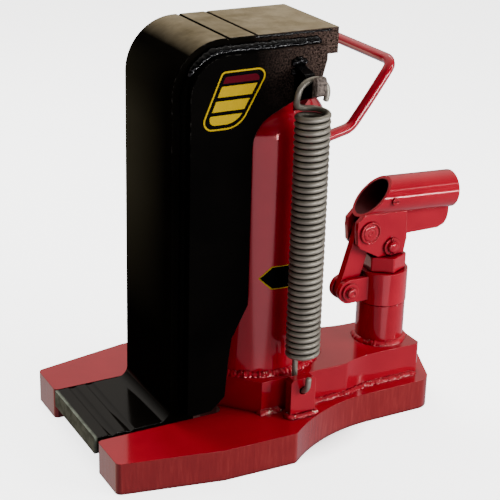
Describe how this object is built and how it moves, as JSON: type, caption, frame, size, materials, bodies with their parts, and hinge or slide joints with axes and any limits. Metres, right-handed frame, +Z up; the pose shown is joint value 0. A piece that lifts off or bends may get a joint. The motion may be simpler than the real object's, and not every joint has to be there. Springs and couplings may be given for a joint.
{
  "type": "hydraulic toe jack",
  "caption": "Forked base with a tank and ram that lifts a steel claw by its low toe or flat head; a swivelling hand pump with a lever socket, return springs and a carrying handle.",
  "frame": {"origin": "on the floor under the ram's centre line, on the underside of the base plate", "axes": "+Z up along the ram, +X towards the toe and the open end of the fork, +Y to the side the pump is offset to"},
  "size_m": [0.3237, 0.2, 0.325],
  "materials": {
    "red_enamel": "gloss",
    "black_paint": "satin",
    "spring_steel": "satin",
    "bright_steel": "polished",
    "pin_steel": "zinc",
    "dark_steel": "blackened",
    "seal_rubber": "matt"
  },
  "bodies": {
    "base": {"base_plate": "red_enamel", "block": "red_enamel", "block_bead": "red_enamel", "tank": "red_enamel", "tank_bead": "red_enamel", "cylinder": "bright_steel", "gland": "dark_steel", "gland_wiper": "seal_rubber", "filler_plug": "dark_steel", "spring_tab_l": "red_enamel", "spring_tab_r": "red_enamel", "tab_bead_l": "red_enamel", "tab_bead_r": "red_enamel", "carry_handle": "red_enamel", "pump_barrel": "red_enamel", "pump_bead": "red_enamel", "gland_nut": "red_enamel", "pump_seal": "seal_rubber", "suction_ball": "bright_steel", "delivery_ball": "bright_steel", "delivery_spring": "spring_steel", "gallery_plug": "dark_steel", "relief_plug": "dark_steel", "release_ball": "bright_steel", "return_spring_l": "spring_steel", "return_spring_r": "spring_steel"},
    "claw": {"claw_plate": "black_paint", "web_l": "black_paint", "web_r": "black_paint", "web_bead_l": "black_paint", "web_bead_r": "black_paint", "spring_lug_l": "black_paint", "spring_lug_r": "black_paint", "guide_pad": "dark_steel", "ram": "bright_steel", "piston_seal": "seal_rubber", "ram_seat": "black_paint"},
    "pump_head": {"swivel_collar": "red_enamel", "ear_pin": "red_enamel", "ear_clip_near": "red_enamel", "ear_clip_far": "red_enamel"},
    "drop_link": {"link": "red_enamel"},
    "pump_plunger": {"plunger": "bright_steel", "plunger_pin": "red_enamel", "plunger_clip_near": "red_enamel", "plunger_clip_far": "red_enamel"},
    "socket": {"socket_tube": "red_enamel", "cheek_near": "red_enamel", "cheek_far": "red_enamel", "socket_rib": "red_enamel", "link_pin": "red_enamel", "link_clip": "red_enamel", "lock_screw": "red_enamel"},
    "release": {"release_screw": "pin_steel"}
  },
  "joints": [
    {"name": "lift", "type": "slide", "parent": "base", "child": "claw", "axis": [0, 0, 1], "range_m": [0, 0.14], "stiffness_N_per_m": 2000, "springref_m": -0.02, "deforming": ["return_spring_l", "return_spring_r"]},
    {"name": "pump_swivel", "type": "hinge", "parent": "base", "child": "pump_head", "pos_m": [-0.1075, 0.027, 0.1], "axis": [0, 0, 1], "range_deg": [-90, 90]},
    {"name": "plunger_slide", "type": "slide", "parent": "pump_head", "child": "pump_plunger", "axis": [0, 0, 1], "range_m": [0, 0.0165]},
    {"name": "lever", "type": "hinge", "parent": "pump_plunger", "child": "socket", "pos_m": [-0.1075, 0.027, 0.1372], "axis": [0, 1, 0], "range_deg": [0, 35]},
    {"name": "link_swing", "type": "hinge", "parent": "pump_head", "child": "drop_link", "pos_m": [-0.0715, 0.027, 0.1022], "axis": [0, 1, 0], "range_deg": [0, 6.5]},
    {"name": "release_turn", "type": "hinge", "parent": "base", "child": "release", "pos_m": [-0.088, 0, 0.038], "axis": [0, 1, 0], "range_deg": [0, 180]}
  ],
  "couplings": [
    {"joint": "plunger_slide", "follows": "lever", "m_per_rad": 0.0262},
    {"joint": "link_swing", "follows": "lever", "ratio": 0.178}
  ]
}
